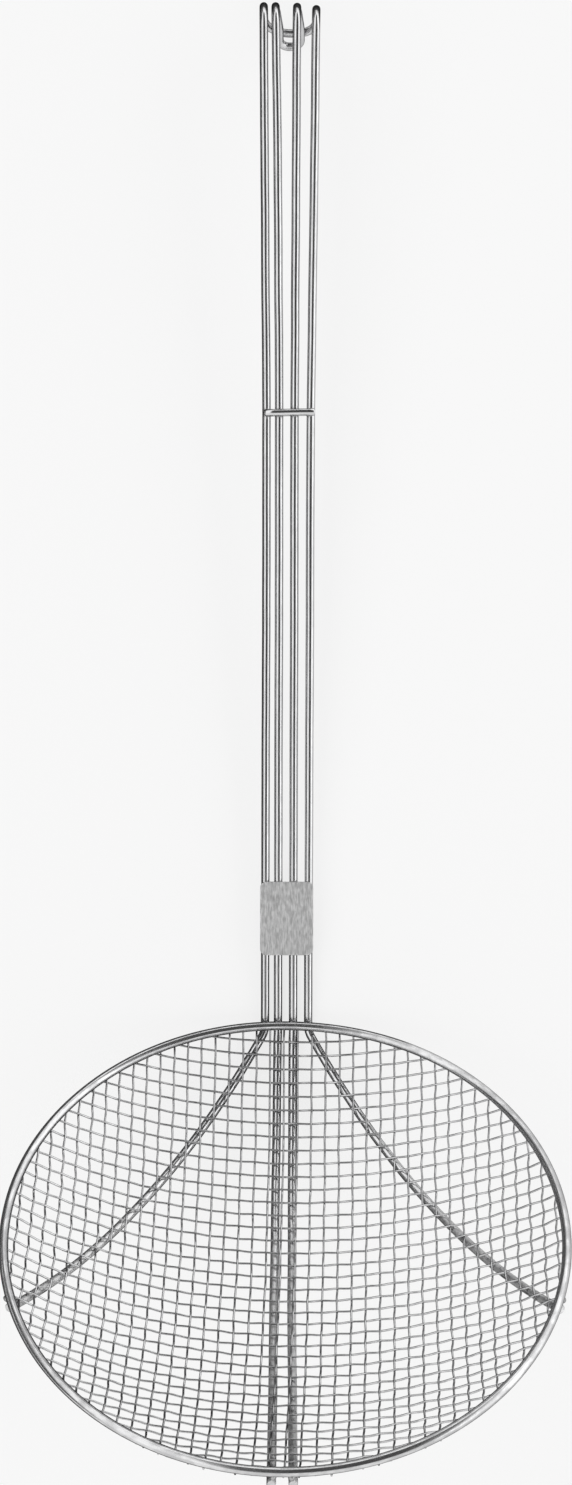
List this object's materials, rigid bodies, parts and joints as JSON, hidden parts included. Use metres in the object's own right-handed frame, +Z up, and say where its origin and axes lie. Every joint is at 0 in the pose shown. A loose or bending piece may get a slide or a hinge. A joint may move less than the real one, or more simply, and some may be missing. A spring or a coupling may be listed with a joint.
{
  "type": "spider skimmer",
  "caption": "Long handled wire skimmer: a dished square mesh bowl in a round rim, on bent rods that run on as a slim handle with a bare plate, a cross bar and a hooked end.",
  "frame": {"origin": "middle of the outline on the table, with the skimmer lying on its back", "axes": "+Z up from the table, +Y along the handle from the bowl to the hook, +X across to the right seen from above with the hook away from the viewer"},
  "size_m": [0.2034, 0.527, 0.157],
  "materials": {
    "rod_steel": "bright drawn wire, polished",
    "mesh_steel": "bright fine wire",
    "plate_steel": "brushed along the handle"
  },
  "bodies": {
    "root": {"rim_ring": "rod_steel", "warp_wires": "mesh_steel", "weft_wires": "mesh_steel", "outer_hairpin_rod": "rod_steel", "inner_hairpin_rod": "rod_steel", "cross_bar": "rod_steel", "badge_plate": "plate_steel"}
  },
  "joints": []
}
